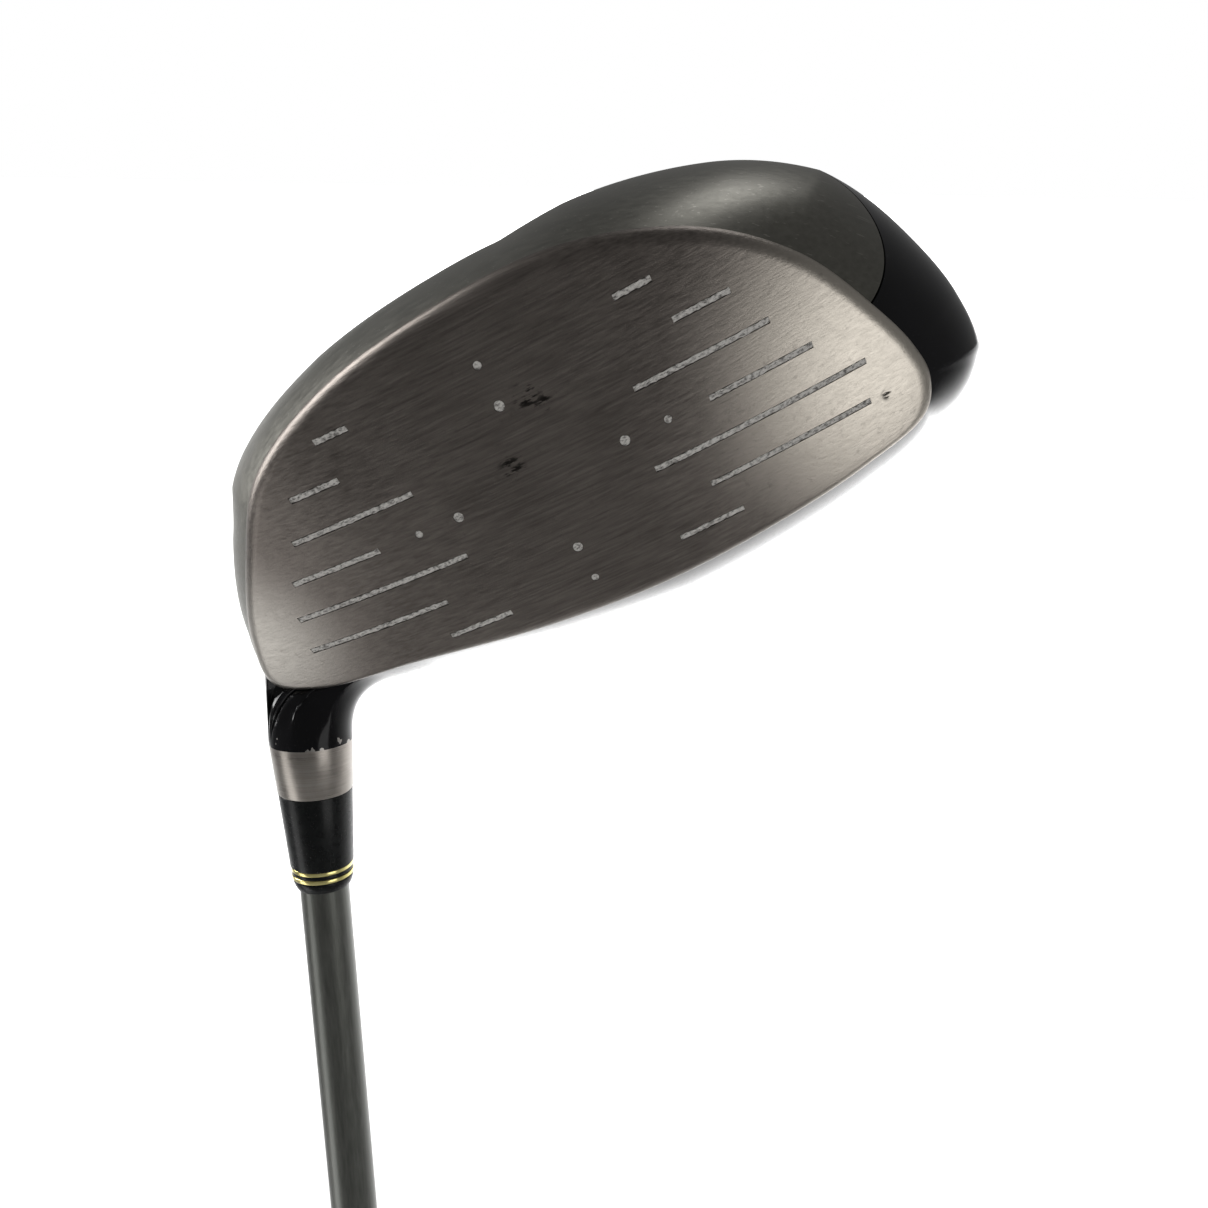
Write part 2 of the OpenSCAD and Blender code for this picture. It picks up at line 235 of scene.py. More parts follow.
# ---------------------------------------------------------------- materials
def material(name):
    m = bpy.data.materials.new(name)
    m.use_nodes = True
    tree = m.node_tree
    tree.nodes.clear()
    out = tree.nodes.new("ShaderNodeOutputMaterial")
    bsdf = tree.nodes.new("ShaderNodeBsdfPrincipled")
    tree.links.new(bsdf.outputs[0], out.inputs[0])
    return m, tree, bsdf


def coords(tree, scale, rotation=(0, 0, 0)):
    tex = tree.nodes.new("ShaderNodeTexCoord")
    turn = tree.nodes.new("ShaderNodeMapping")
    turn.inputs["Rotation"].default_value = rotation
    tree.links.new(tex.outputs["Object"], turn.inputs[0])
    stretch = tree.nodes.new("ShaderNodeVectorMath")
    stretch.operation = "MULTIPLY"
    stretch.inputs[1].default_value = scale
    tree.links.new(turn.outputs[0], stretch.inputs[0])
    return stretch.outputs[0]


def noise(tree, vector, scale=1.0, detail=3.0, rough=0.55):
    n = tree.nodes.new("ShaderNodeTexNoise")
    n.inputs["Scale"].default_value = scale
    n.inputs["Detail"].default_value = detail
    n.inputs["Roughness"].default_value = rough
    tree.links.new(vector, n.inputs["Vector"])
    return n.outputs[0]


def ramp(tree, value, stops):
    r = tree.nodes.new("ShaderNodeValToRGB")
    while len(r.color_ramp.elements) < len(stops):
        r.color_ramp.elements.new(0.5)
    for e, (at, colour) in zip(r.color_ramp.elements, stops):
        e.position = at
        e.color = (*colour, 1) if isinstance(colour, tuple) else (colour, colour, colour, 1)
    tree.links.new(value, r.inputs[0])
    return r.outputs[0]


def mix(tree, factor, a, b):
    m = tree.nodes.new("ShaderNodeMix")
    m.data_type = "RGBA"
    for socket, value in ((m.inputs[0], factor), (m.inputs[6], a), (m.inputs[7], b)):
        if hasattr(value, "links"):
            tree.links.new(value, socket)
        elif isinstance(value, tuple):
            socket.default_value = (*value, 1)
        else:
            socket.default_value = value
    return m.outputs[2]


def math_node(tree, operation, a, b=0.0, clamp=False):
    m = tree.nodes.new("ShaderNodeMath")
    m.operation = operation
    m.use_clamp = clamp
    for socket, value in ((m.inputs[0], a), (m.inputs[1], b)):
        if hasattr(value, "links"):
            tree.links.new(value, socket)
        else:
            socket.default_value = value
    return m.outputs[0]


def bump(tree, bsdf, height, strength, distance):
    b = tree.nodes.new("ShaderNodeBump")
    b.inputs["Strength"].default_value = strength
    b.inputs["Distance"].default_value = distance
    tree.links.new(height, b.inputs["Height"])
    tree.links.new(b.outputs[0], bsdf.inputs["Normal"])


def spot(tree, centre, radius, soft):
    """1 near centre, falling to 0 at radius; soft is the width of the edge."""
    tex = tree.nodes.new("ShaderNodeTexCoord")
    d = tree.nodes.new("ShaderNodeVectorMath")
    d.operation = "DISTANCE"
    d.inputs[1].default_value = tuple(map(float, centre))
    tree.links.new(tex.outputs["Object"], d.inputs[0])
    m = tree.nodes.new("ShaderNodeMapRange")
    m.interpolation_type = "SMOOTHSTEP"
    m.inputs["From Min"].default_value = radius
    m.inputs["From Max"].default_value = max(radius - soft, 0)
    tree.links.new(d.outputs["Value"], m.inputs["Value"])
    return m.outputs[0]


# Rotation that lays texture X along the score lines
ALONG_LINES = (0, math.pi / 2 - LIE, 0)


def brushed_metal(name, dark, light, roughness, along, across, grain=0.35):
    """Brushed satin metal; along and across are the grain's scales on the score line's axes."""
    m, tree, bsdf = material(name)
    grain_at = coords(tree, (along, across, across), ALONG_LINES)
    fine = noise(tree, grain_at, 1, 5, 0.65)
    cloud = noise(tree, coords(tree, (60, 60, 60)), 1, 3, 0.5)
    mixed = mix(tree, 0.35, fine, cloud)
    colour = ramp(tree, mixed, [(0.32, dark), (0.68, light)])
    tree.links.new(colour, bsdf.inputs["Base Color"])
    rough = ramp(tree, fine, [(0.25, roughness - 0.06), (0.75, roughness + 0.08)])
    tree.links.new(rough, bsdf.inputs["Roughness"])
    bsdf.inputs["Metallic"].default_value = 1.0
    bump(tree, bsdf, fine, grain, 0.00006)
    return m, tree, bsdf, colour


# Dark marks on the face: toward the toe and the crown in millimetres, then the radius in metres
BALL_MARKS = (
    (4.0, -11.2, 0.0030), (-2.6, -3.4, 0.0026), (50.5, 12.0, 0.0012), (5.8, -9.5, 0.0016))


def face_material():
    """Brushed metal with painted highlights at the toe and the heel, dark ball marks and nicks."""
    m, tree, bsdf, colour = brushed_metal(
        "face_brushed", (0.10, 0.088, 0.079), (0.20, 0.178, 0.160), 0.36, 110, 2600, 0.8)
    # Painted highlights: pale colour spots at the toe and at the heel stand in for the lights' highlights on
    # the bulged face
    toe = place(on_face(52, 6))
    heel = place(on_face(-58, 8))
    toe_painted_highlight = mix(tree, spot(tree, toe, 0.034, 0.03), colour, (0.52, 0.48, 0.42))
    both = mix(tree, spot(tree, heel, 0.022, 0.02), toe_painted_highlight, (0.36, 0.34, 0.31))
    speckle = noise(tree, coords(tree, (900, 900, 900)), 1, 4, 0.6)
    smear = noise(tree, coords(tree, (420, 1400, 1400), ALONG_LINES), 1, 3, 0.6)
    marks = None
    for u, v, size in BALL_MARKS:
        area = spot(tree, place(on_face(u, v)), size, size * 0.7)
        marks = area if marks is None else math_node(tree, "MAXIMUM", marks, area)
    patchy = ramp(tree, smear, [(0.50, 0.0), (0.60, 1.0)])
    worn = math_node(tree, "MULTIPLY", marks, patchy, True)
    scratched = mix(tree, ramp(tree, speckle, [(0.60, 0.0), (0.75, 0.35)]), both, (0.10, 0.09, 0.08))
    tree.links.new(mix(tree, worn, scratched, (0.02, 0.018, 0.016)), bsdf.inputs["Base Color"])
    return m


def sole_material():
    """Dark satin metal with fine random scratches."""
    m, tree, bsdf, colour = brushed_metal(
        "sole_satin", (0.125, 0.122, 0.105), (0.175, 0.17, 0.15), 0.36, 300, 1200, 0.25)
    scratches = noise(tree, coords(tree, (2200, 90, 2200), (0.5, 0.2, 0.9)), 1, 2, 0.5)
    lines = ramp(tree, scratches, [(0.66, 0.0), (0.70, 0.5)])
    tree.links.new(mix(tree, lines, colour, (0.30, 0.29, 0.26)), bsdf.inputs["Base Color"])
    return m


def crown_material():
    """Gloss black lacquer, chipped to bare metal along the paint line on the neck."""
    m, tree, bsdf = material("crown_lacquer")
    tex = tree.nodes.new("ShaderNodeTexCoord")
    parts = tree.nodes.new("ShaderNodeSeparateXYZ")
    tree.links.new(tex.outputs["Object"], parts.inputs[0])
    ragged = noise(tree, coords(tree, (420, 420, 260)), 1, 3, 0.6)
    line_z = (HEAD_Z - PAINT_LINE) * MM
    above = math_node(tree, "SUBTRACT", parts.outputs[2], line_z)
    reach = math_node(tree, "MULTIPLY", math_node(tree, "SUBTRACT", ragged, 0.55), 0.020)
    chip = math_node(tree, "GREATER_THAN", reach, above)
    grey = noise(tree, coords(tree, (70, 70, 70)), 1, 2, 0.5)
    black = ramp(tree, grey, [(0.3, (0.0035, 0.0035, 0.004)), (0.7, (0.007, 0.007, 0.008))])
    tree.links.new(mix(tree, chip, black, (0.30, 0.285, 0.265)), bsdf.inputs["Base Color"])
    dust = noise(tree, coords(tree, (1500, 1500, 1500)), 1, 2, 0.5)
    gloss = ramp(tree, dust, [(0.45, 0.12), (0.75, 0.22)])
    tree.links.new(mix(tree, chip, gloss, (0.38, 0.38, 0.38)), bsdf.inputs["Roughness"])
    tree.links.new(mix(tree, chip, (0.0, 0.0, 0.0), (1.0, 1.0, 1.0)), bsdf.inputs["Metallic"])
    bsdf.inputs["Specular IOR Level"].default_value = 0.15
    bsdf.inputs["Coat Weight"].default_value = 0.03
    bsdf.inputs["Coat Roughness"].default_value = 0.05
    ripple = noise(tree, coords(tree, (160, 160, 160)), 1, 2, 0.5)
    bump(tree, bsdf, ripple, 0.05, 0.0003)
    return m


def turned_metal(name, dark, light, roughness):
    """Metal with fine turning lines round the shaft."""
    m, tree, bsdf = material(name)
    lines = noise(tree, coords(tree, (60, 60, 5200)), 1, 4, 0.6)
    cloud = noise(tree, coords(tree, (260, 260, 260)), 1, 3, 0.5)
    colour = ramp(tree, mix(tree, 0.4, lines, cloud), [(0.3, dark), (0.7, light)])
    tree.links.new(colour, bsdf.inputs["Base Color"])
    rough = ramp(tree, lines, [(0.3, roughness - 0.05), (0.7, roughness + 0.07)])
    tree.links.new(rough, bsdf.inputs["Roughness"])
    bsdf.inputs["Metallic"].default_value = 1.0
    bump(tree, bsdf, lines, 0.25, 0.00004)
    return m


def paint_fill_material():
    m, tree, bsdf = material("line_paint")
    grain = noise(tree, coords(tree, (1500, 2600, 2600), ALONG_LINES), 1, 3, 0.7)
    colour = ramp(tree, grain, [(0.36, (0.16, 0.15, 0.14)), (0.55, (0.66, 0.64, 0.60))])
    tree.links.new(colour, bsdf.inputs["Base Color"])
    tree.links.new(ramp(tree, grain, [(0.3, 0.75), (0.7, 0.5)]), bsdf.inputs["Roughness"])
    bump(tree, bsdf, grain, 0.6, 0.0001)
    return m


def polymer(name, dark, light, rough, scale, coat=0.0, bumpiness=0.1, metallic=0.0):
    m, tree, bsdf = material(name)
    cloud = noise(tree, coords(tree, (scale, scale, scale)), 1, 4, 0.6)
    tree.links.new(ramp(tree, cloud, [(0.3, dark), (0.7, light)]), bsdf.inputs["Base Color"])
    tree.links.new(ramp(tree, cloud, [(0.3, rough - 0.05), (0.7, rough + 0.08)]), bsdf.inputs["Roughness"])
    bsdf.inputs["Specular IOR Level"].default_value = 0.18
    bsdf.inputs["Coat Weight"].default_value = coat
    bsdf.inputs["Coat Roughness"].default_value = 0.08
    bsdf.inputs["Metallic"].default_value = metallic
    bump(tree, bsdf, cloud, bumpiness, 0.0001)
    return m


def shaft_material():
    """Clear-coated grey graphite with a fine lengthwise flake."""
    m, tree, bsdf = material("shaft_graphite")
    flake = noise(tree, coords(tree, (1800, 1800, 160)), 1, 4, 0.6)
    colour = ramp(tree, flake, [(0.3, (0.082, 0.085, 0.075)), (0.7, (0.118, 0.121, 0.109))])
    tree.links.new(colour, bsdf.inputs["Base Color"])
    tree.links.new(ramp(tree, flake, [(0.3, 0.34), (0.7, 0.44)]), bsdf.inputs["Roughness"])
    bsdf.inputs["Metallic"].default_value = 0.85
    bsdf.inputs["Coat Weight"].default_value = 0.25
    bsdf.inputs["Coat Roughness"].default_value = 0.15
    bump(tree, bsdf, flake, 0.08, 0.00005)
    return m


def finish_piece(piece, mat, slot, *nodes):
    piece.data.materials.clear()
    piece.data.materials.append(mat)
    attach(piece, "root")
    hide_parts(*nodes)


# ---------------------------------------------------------------- face
def score_strip(row, start, end, top, low, half, ragged=0.0):
    """Points and faces of one bar that follows the bulged face."""
    count = max(2, int((end - start) / 0.45))
    points, faces = [], []
    for i in range(count + 1):
        u = start + (end - start) * i / count
        a, b = (half * (1 - ragged * rng.random()) for _ in range(2))
        for v, drop in ((-a, top), (b, top), (b, low), (-a, low)):
            points.append(place(on_face(u, row * LINE_PITCH + v, drop)))
        if i:
            k = 4 * i
            for j in range(4):
                m = (j + 1) % 4
                faces.append((k - 4 + j, k - 4 + m, k + m, k + j))
    last = 4 * count
    return points, faces + [(0, 1, 2, 3), (last + 3, last + 2, last + 1, last)]


def punch_mark(u, v, radius, top, low, sides=20):
    angles = np.arange(sides) * 2 * math.pi / sides
    ring = [(u + radius * math.cos(a), v + radius * math.sin(a)) for a in angles]
    points = [place(on_face(x, y, d)) for d in (top, low) for x, y in ring]
    faces = [(i, (i + 1) % sides, sides + (i + 1) % sides, sides + i) for i in range(sides)]
    return points, faces + [tuple(range(sides)), tuple(range(sides, 2 * sides))]


# Punch marks, two on each side of the centre: toward the toe, toward the crown, radius
MARKS = [(m * MARK_PITCH * x, m * LINE_PITCH * y, r)
         for x, y in ((1, 0), (0, 1), (-1, 0), (0, -1)) for m, r in ((2, 0.78), (3, 0.6))]


def score_object(name, top, low, slim, ragged):
    points, faces = [], []
    shapes = [score_strip(row, a, b, top, low, LINE_W / 2 * slim, ragged) for row, a, b in LINES]
    shapes += [punch_mark(u, v, r * slim, top, low) for u, v, r in MARKS]
    for p, f in shapes:
        faces += [tuple(i + len(points) for i in face) for face in f]
        points += p
    return make_object(name, points, faces, smooth=False)


# Points of the edge per point of the outline, and how far the edge rounds over
EDGE_STEPS = 16
EDGE_TURN = math.radians(80)


def face_plate():
    """Bulged plate with a rounded edge and the score lines cut into it."""
    count = len(OUTLINE) * EDGE_STEPS
    t = np.arange(count) / count
    r = rim(t)
    size = np.linalg.norm(r, axis=-1)
    rings = []
    for a in np.linspace(EDGE_TURN, 0, 12):
        inset = EDGE_BAND * (1 - math.sin(a) / math.sin(EDGE_TURN))
        drop = EDGE_DROP * (1 - math.cos(a)) / (1 - math.cos(EDGE_TURN))
        p = r * (1 - inset / size)[:, None]
        rings.append(on_face(p[:, 0], p[:, 1], drop))
    inner = r * (1 - EDGE_BAND / size)[:, None]
    for f in np.linspace(1, 0, 26)[1:-1]:
        rings.append(on_face(inner[:, 0] * f, inner[:, 1] * f))
    back = r * 0.985
    rings.insert(0, on_face(back[:, 0], back[:, 1], FACE_T))
    points = [p for ring in rings for p in place(ring)]
    points += [place(on_face(0, 0)), place(on_face(0, 0, FACE_T))]
    front_centre, back_centre = len(points) - 2, len(points) - 1
    faces = []
    for k in range(len(rings) - 1):
        for i in range(count):
            j = (i + 1) % count
            faces.append((k * count + i, k * count + j, (k + 1) * count + j, (k + 1) * count + i))
    k = (len(rings) - 1) * count
    for i in range(count):
        j = (i + 1) % count
        faces.append((k + i, k + j, front_centre))
        faces.append((j, i, back_centre))
    piece = make_object("face_plate_scored", points, faces)
    cutter = score_object("score_cutter", -0.5, LINE_DEPTH, 1.0, 0.0)
    cut = piece.modifiers.new("score", "BOOLEAN")
    cut.operation, cut.solver, cut.object = "DIFFERENCE", "EXACT", cutter
    apply_modifiers(piece)
    bpy.data.objects.remove(cutter)
    sharpen(piece, 35)
    finish_piece(piece, face_material(), "face_metal", "face_plate")


def score_fill():
    piece = score_object("score_paint", 0.06, LINE_DEPTH - 0.01, 0.94, 0.35)
    finish_piece(piece, paint_fill_material(), "score_paint", "score_fill")


# ---------------------------------------------------------------- body shells and neck
# Where the neck's blend takes over: a level, a distance from the shaft's axis and its extra toward the toe
NECK_LEVEL = 15.7
NECK_REACH, TOE_REACH = 9.5, 5.5
# How much deeper the patch goes toward the toe and toward the heel
TOE_DIP, HEEL_DIP = 4.2, 3.2
# Middle of the patch about the shaft's axis, radius of the neck and rows of the blend
PATCH_MIDDLE = (5, 3)
NECK_R = 7.0
BLEND_ROWS = 26


def outside_neck(p):
    """Positive outside the patch that the neck's blend replaces, for a placed point."""
    p = np.asarray(p) / MM
    x, y, level = p[..., 0], p[..., 1], HEAD_Z - p[..., 2]
    rho = np.hypot(x, y)
    toward_toe = np.maximum(x / np.maximum(rho, 1e-6), 0)
    toward_heel = np.maximum(-x / np.maximum(rho, 1e-6), 0)
    reach = NECK_REACH + TOE_REACH * toward_toe
    return np.maximum(rho - reach, NECK_LEVEL - TOE_DIP * toward_toe - HEEL_DIP * toward_heel - level)


def clipped_panel(spans, steps):
    """Grid of the body between lines of t, less the neck patch: its points, faces and cut edge."""
    t, w, d = (np.array(v) for v in zip(*[zip(*[(a, x, b) for a, b in spans(x)]) for x in steps]))
    params = np.stack([t, w, d], -1)
    where = place(shell(t, w, d))
    clear = outside_neck(where)
    rows, columns = t.shape
    points = list(where.reshape(-1, 3))
    crossings, edge = {}, []

    def crossing(a, b):
        key = (min(a, b), max(a, b))
        if key not in crossings:
            pa, pb = params.reshape(-1, 3)[a], params.reshape(-1, 3)[b]
            if clear.flat[a] < 0:
                pa, pb = pb, pa
            for _ in range(24):
                middle = (pa + pb) / 2
                if outside_neck(place(shell(*middle))) >= 0:
                    pa = middle
                else:
                    pb = middle
            crossings[key] = len(points)
            points.append(place(shell(*pa)))
            edge.append((points[-1], body_normal(pa[0], pa[1]), pa[2]))
        return crossings[key]

    faces = []
    for i in range(rows - 1):
        for j in range(columns - 1):
            quad = [i * columns + j, i * columns + j + 1, (i + 1) * columns + j + 1, (i + 1) * columns + j]
            signs = [clear.flat[q] >= 0 for q in quad]
            if all(signs):
                faces.append(quad)
            elif any(signs):
                face = []
                for k in range(4):
                    a, b = quad[k], quad[(k + 1) % 4]
                    if clear.flat[a] >= 0:
                        face.append(a)
                    if (clear.flat[a] >= 0) != (clear.flat[b] >= 0):
                        face.append(crossing(a, b))
                faces.append(face)
    pole = len(points)
    points.append(place(REAR - np.array([0, SKIN, 0])))
    last = (rows - 1) * columns
    faces += [(last + j, last + j + 1, pole) for j in range(columns - 1)]
    return points, faces, edge


# Depth of both shells under the CAD surface, so that they stay inside its box
SKIN = 0.12
# Rows from the face edge to near the rear point, closer together at the face
ROWS = [x * (0.55 + 0.45 * x) for x in np.linspace(0, 0.992, 110)]
CROWN_COLUMNS, SOLE_COLUMNS = 230, 180
CROWN_SHEET, SOLE_SHEET = 0.35, 0.5
# Half the groove's width over the outline's length, and how far the crown laps under the groove
GROOVE = 0.4 / 2 / 300
LAP, LAP_DEPTH = 0.007, 1.1


def crown_spans(w):
    """Columns of the crown: a lap under each groove, then the surface between the grooves."""
    a, b = seam(TOE_SEAM, w) + GROOVE, 1 + seam(HEEL_SEAM, w) - GROOVE
    surface = [(a + (b - a) * j / CROWN_COLUMNS, SKIN) for j in range(CROWN_COLUMNS + 1)]
    start = [(a - LAP, LAP_DEPTH), (a, LAP_DEPTH), (a, 0.3)]
    return start + surface + [(b, 0.3), (b, LAP_DEPTH), (b + LAP, LAP_DEPTH)]


def sole_spans(w):
    """Columns of the sole: a turned-in lip at each groove, with the surface between."""
    a, b = seam(HEEL_SEAM, w) + GROOVE, seam(TOE_SEAM, w) - GROOVE
    surface = [(a + (b - a) * j / SOLE_COLUMNS, SKIN) for j in range(SOLE_COLUMNS + 1)]
    return [(a, 0.9), (a, 0.26)] + surface + [(b, 0.26), (b, 0.9)]


def around_patch(p):
    """Angle of a placed point about the middle of the patch."""
    return math.atan2(p[1] - PATCH_MIDDLE[1] * MM, p[0] - PATCH_MIDDLE[0] * MM)


def neck_blend(edge):
    """Rows from the cut's edge up to the round neck at the paint line."""
    centre = np.array([0, 0, (HEAD_Z - PAINT_LINE) * MM])
    radius = NECK_R * MM
    points, faces = [], []
    rows = BLEND_ROWS
    up_shaft = np.array([0, 0, 1.0])
    for p, normal_head, _ in edge:
        n = unit(place(normal_head) - place([0, 0, 0]))
        a = around_patch(p)
        end = centre + radius * np.array([math.cos(a), math.sin(a), 0])
        span = end - p
        length = np.linalg.norm(span)
        start = unit(span - n * np.dot(span, n))
        flare = min(max(-1.6 * math.cos(a), 0), 1)
        c1 = p + length * ((1 - flare) * 0.42 * start + flare * 0.33 * span / length)
        c2 = end + length * ((1 - flare) * 0.5 * up_shaft - flare * 0.33 * span / length)
        shoulder = min(max((6 * MM - math.hypot(p[0], p[1])) / (3 * MM), 0), 1)
        out = np.array([math.cos(a), math.sin(a), 0])
        c1 = (1 - shoulder) * c1 + shoulder * (p + 3.4 * MM * out - 1.5 * MM * up_shaft)
        c2 = (1 - shoulder) * c2 + shoulder * (end + 4 * MM * up_shaft)
        for k in range(rows + 1):
            f = k / rows
            leaving = (1 - f) ** 3 * p + 3 * (1 - f) ** 2 * f * c1
            points.append(leaving + 3 * (1 - f) * f * f * c2 + f**3 * end)
    n = len(edge)
    step = rows + 1
    for i in range(n):
        j = (i + 1) % n
        faces += [(i * step + k, j * step + k, j * step + k + 1, i * step + k + 1) for k in range(rows)]
    return points, faces


def head_shells():
    sole_points, sole_faces, sole_edge = clipped_panel(sole_spans, ROWS)
    points, faces, edge = clipped_panel(crown_spans, ROWS)
    t = np.linspace(HEEL_SEAM[0] - 0.12, HEEL_SEAM[0] + 0.06, 200)
    on_rim = place(shell(t, 0 * t, 0 * t + SKIN))
    for p, a in zip(on_rim, t):
        if outside_neck(p) < 0:
            edge.append((p, body_normal(a, 0.0), SKIN))
    edge = [e for e in edge + sole_edge if e[2] < 1.01 * SKIN]
    edge.sort(key=lambda e: around_patch(e[0]))
    neck_points, neck_faces = neck_blend(edge)
    faces = [tuple(f) for f in faces] + [tuple(i + len(points) for i in f) for f in neck_faces]
    crown = make_object("crown_and_neck", points + neck_points, faces)
    sole = make_object("sole_panel", sole_points, sole_faces)
    for piece, depth in ((crown, CROWN_SHEET), (sole, SOLE_SHEET)):
        thick = piece.modifiers.new("thick", "SOLIDIFY")
        thick.thickness, thick.offset = depth * MM, -1
        apply_modifiers(piece)
        sharpen(piece, 50)
    finish_piece(crown, crown_material(), "crown_paint", "crown_shell")
    finish_piece(sole, sole_material(), "sole_metal", "sole_shell")


# Where the hosel and the shaft end out of sight inside the neck
HIDDEN_END = 19


def hosel():
    outer = [(4.5, HIDDEN_END), (4.5, 24.6), (6.95, 25.1), (6.93, 26.5), (6.42, 34.7), (6.3, 34.95)]
    inner = [(4.35, 34.95), (4.35, HIDDEN_END)]
    piece = turned("hosel_band", by_level(outer + inner))
    sharpen(piece, 40)
    satin = turned_metal("hosel_satin", (0.22, 0.20, 0.18), (0.34, 0.315, 0.285), 0.30)
    finish_piece(piece, satin, "hosel_metal", "hosel")


def hosel_inside():
    """Adhesive film and tip weight, kept within the visible neck."""
    low = HIDDEN_END + 1
    film = turned("bond_film", by_level([(4.21, low), (4.34, low), (4.34, 34.9), (4.21, 34.9)]))
    resin = polymer("adhesive", (0.50, 0.43, 0.20), (0.70, 0.62, 0.35), 0.3, 600, 0.2, 0.2)
    finish_piece(film, resin, "adhesive", "hosel_bond")
    slug = turned("tip_slug", by_level(rounded([(0.2, low), (2.88, low), (2.88, 28), (0.2, 28)], 0.4)))
    sharpen(slug, 60)
    brass = turned_metal("tip_brass", (0.55, 0.40, 0.18), (0.76, 0.60, 0.32), 0.3)
    finish_piece(slug, brass, "tip_brass", "tip_weight")


# ---------------------------------------------------------------- ferrule, shaft and grip
# Length of the whole ferrule, of its rings and end together, and of one ring
FERRULE_LEN, TRIM_LEN, RING_LEN = 19, 4.6, 0.8
FERRULE_BORE = 4.32


def ferrule():
    """Black cone, gold ring, black spacer, gold ring and rounded black end."""
    top = HOSEL_TOP + FERRULE_LEN
    base = top - TRIM_LEN
    black = polymer("ferrule_black", (0.002, 0.003, 0.003), (0.005, 0.006, 0.006), 0.28, 700, 0.05, 0.15)
    gold = turned_metal("ring_gold", (0.60, 0.52, 0.16), (0.92, 0.83, 0.40), 0.20)
    bore = FERRULE_BORE
    body = rounded([(bore, HOSEL_TOP), (6.32, HOSEL_TOP), (5.5, base), (bore, base)], 0.12)
    pieces = [("ferrule_cone", body, black, "ferrule_plastic", "ferrule_body")]
    rings = (
        ("ferrule_ring_lower", gold, "ring_gold", 5.42),
        ("ferrule_spacer", black, "ferrule_plastic", 5.28),
        ("ferrule_ring_upper", gold, "ring_gold", 5.38))
    low = base
    for node, mat, slot, r in rings:
        high = low + RING_LEN
        outline = rounded([(bore, low), (r, low), (r, high), (bore, high)], 0.18)
        pieces.append((node + "_turned", outline, mat, slot, node))
        low = high
    end = rounded([(bore, low), (5.3, low), (5.15, low + 1.1), (4.65, top), (bore, top)], 0.5)
    pieces.append(("ferrule_lip", end, black, "ferrule_plastic", "ferrule_end"))
    for name, outline, mat, slot, node in pieces:
        piece = turned(name, by_level(outline))
        sharpen(piece, 60)
        finish_piece(piece, mat, slot, node)


# Radius and level where the tip's slow taper ends and the shaft's own taper starts
TIP_END = (4.7, 255)
SHAFT_OUTSIDE = [(4.2, HIDDEN_END + 1), (4.2, 34.8), (4.3, 35), (4.3, 54), TIP_END]
# Radius of the butt, and the height above the grip's end up to which it stays the same
BUTT_R, PARALLEL_Z = 7.6, 200
WALL = 1.3


def shaft():
    outside = by_level(SHAFT_OUTSIDE) + [(BUTT_R, PARALLEL_Z), (BUTT_R, 4)]
    dense = []
    for (r0, z0), (r1, z1) in zip(outside, outside[1:]):
        steps = max(1, int(abs(z1 - z0) / 25))
        dense += [(r0 + (r1 - r0) * k / steps, z0 + (z1 - z0) * k / steps) for k in range(steps)]
    dense.append(outside[-1])
    inside = [(r - WALL, z) for r, z in reversed(outside)]
    piece = turned("shaft_coated", dense + inside)
    sharpen(piece, 40)
    finish_piece(piece, shaft_material(), "shaft_graphite", "shaft_tube")


def shaft_at(z):
    """Shaft radius under the grip."""
    if z < PARALLEL_Z:
        return BUTT_R
    tip_r, tip_z = TIP_END[0], HEAD_Z - TIP_END[1]
    return BUTT_R - (BUTT_R - tip_r) * (z - PARALLEL_Z) / (tip_z - PARALLEL_Z)


# Height above the grip's end and radius
GRIP_PROFILE = ((4, 13.3), (30, 12.22), (120, 10.93), (200, 9.8), (268.5, 9.0), (270, 8.5))


def grip_radius(z):
    return float(np.interp(z, [p[0] for p in GRIP_PROFILE], [p[1] for p in GRIP_PROFILE]))


# Moulded pattern of the grip, in millimetres from its end
PATTERN_FROM, PATTERN_TO = 22, 257
ROW_PITCH, DASHES_ROUND = 2.4, 24
RINGS_AT = (16, 19, 260)
RING_HALF, RING_CUT, DASH_CUT = 0.9, -0.35, -0.38


def grip_relief(angle, radius, z):
    """Short dashes in staggered rows, with plain bands at both ends and three rings."""
    if radius < shaft_at(z) + 0.8:
        return 0.0
    if any(abs(z - ring) < RING_HALF for ring in RINGS_AT):
        return RING_CUT
    if z < PATTERN_FROM or z > PATTERN_TO:
        return 0.0
    rows = (z - PATTERN_FROM) / ROW_PITCH
    across = (angle / (2 * math.pi) * DASHES_ROUND + 0.5 * (int(rows) % 2)) % 1.0
    along = rows % 1.0
    return DASH_CUT if 0.18 < across < 0.82 and 0.28 < along < 0.72 else 0.0


def grip():
    zs = list(np.arange(4, 269, 0.6)) + [268.5, 269.4, 270]
    outside = [(grip_radius(z), z) for z in zs]
    outside[0] = (13.1, 4)
    inside = [(shaft_at(z) + 0.3, z) for z in (270, 200, 4)]
    piece = turned("grip_rubber_sleeve", outside + inside, 144, grip_relief)
    sharpen(piece, 60)
    rubber = polymer("grip_rubber", (0.010, 0.010, 0.010), (0.022, 0.022, 0.021), 0.62, 1300, 0.0, 0.5)
    finish_piece(piece, rubber, "grip_rubber", "grip_sleeve")
    outline = rounded([(1.5, 0), (13.75, 0), (13.75, 4), (1.5, 4)], 1.1, 8)
    cap = turned("grip_end_cap", outline)
    sharpen(cap, 60)
    hard = polymer("cap_rubber", (0.012, 0.012, 0.012), (0.026, 0.026, 0.026), 0.55, 900, 0.0, 0.3)
    finish_piece(cap, hard, "cap_rubber", "grip_cap")


